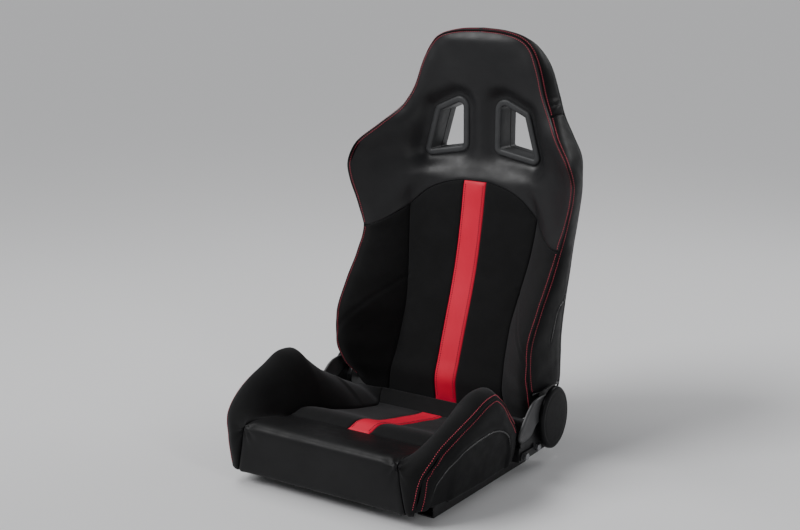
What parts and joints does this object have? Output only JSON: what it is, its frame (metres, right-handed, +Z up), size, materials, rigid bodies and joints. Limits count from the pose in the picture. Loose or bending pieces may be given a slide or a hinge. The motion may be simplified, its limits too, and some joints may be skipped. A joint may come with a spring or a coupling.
{
  "type": "racing seat",
  "caption": "Reclining sport seat: bucket cushion and high padded back with harness slots, hinged on rotary recliners that a lever on either side releases.",
  "frame": {"origin": "middle of the footprint of the whole seat, on the floor under its mounting rails", "axes": "+Z up; the seat faces -Y; +X is on the right-hand side of a viewer in front of the seat, the side of the recliner that such a viewer sees"},
  "size_m": [0.5676, 0.678, 0.889],
  "materials": {
    "leatherette": "satin",
    "suede": "matte",
    "red_leatherette": "satin",
    "shell_cloth": "matte",
    "bezel_plastic": "matte",
    "moulded_plastic": "satin",
    "painted_steel": "satin",
    "plated_steel": "satin",
    "webbing": "matte"
  },
  "bodies": {
    "base": {"mount_rail_right": "painted_steel", "mount_rail_left": "painted_steel", "side_member_right": "painted_steel", "side_member_left": "painted_steel", "cross_tube_front": "painted_steel", "cross_tube_rear": "painted_steel", "seat_pan": "painted_steel", "recliner_spacer_right": "painted_steel", "recliner_spacer_left": "painted_steel", "recliner_plate_right": "painted_steel", "recliner_plate_left": "painted_steel", "recliner_unit_right": "plated_steel", "recliner_unit_left": "plated_steel", "plate_bolt_front_right": "plated_steel", "plate_bolt_front_left": "plated_steel", "plate_bolt_rear_right": "plated_steel", "plate_bolt_rear_left": "plated_steel", "recliner_cover_right": "moulded_plastic", "recliner_cover_left": "moulded_plastic", "seat_front_roll": "leatherette", "seat_stripe": "red_leatherette", "seat_rear_pad": "suede", "seat_insert_right": "suede", "seat_insert_left": "suede", "seat_bolster_right": "suede", "seat_bolster_left": "suede", "seat_side_cover_right": "leatherette", "seat_side_cover_left": "leatherette"},
    "backrest": {"head_shoulder_pad": "leatherette", "head_side_cover": "leatherette", "back_stripe": "red_leatherette", "back_shell": "shell_cloth", "back_insert_right": "suede", "back_insert_left": "suede", "back_bolster_right": "suede", "back_bolster_left": "suede", "back_side_cover_right": "leatherette", "back_side_cover_left": "leatherette", "harness_bezel_right": "bezel_plastic", "harness_bezel_left": "bezel_plastic", "harness_bezel_rear_right": "bezel_plastic", "harness_bezel_rear_left": "bezel_plastic", "back_side_tube_right": "painted_steel", "back_side_tube_left": "painted_steel", "back_cross_tube_low": "painted_steel", "back_cross_tube_mid": "painted_steel", "back_cross_tube_top": "painted_steel", "back_strap_low": "webbing", "back_strap_mid": "webbing", "back_strap_high": "webbing", "recliner_arm_right": "painted_steel", "recliner_arm_left": "painted_steel"},
    "release": {"recline_lever_right": "moulded_plastic", "recline_lever_left": "moulded_plastic", "release_shaft": "plated_steel"}
  },
  "joints": [
    {"name": "recline", "type": "hinge", "parent": "base", "child": "backrest", "pos_m": [0, 0.138, 0.096], "axis": [-1, 0, 0], "range_deg": [-30, 60]},
    {"name": "release_levers", "type": "hinge", "parent": "base", "child": "release", "pos_m": [0, 0.138, 0.096], "axis": [-1, 0, 0], "range_deg": [0, 25], "stiffness_Nm_per_rad": 4, "springref_deg": -22.92}
  ]
}
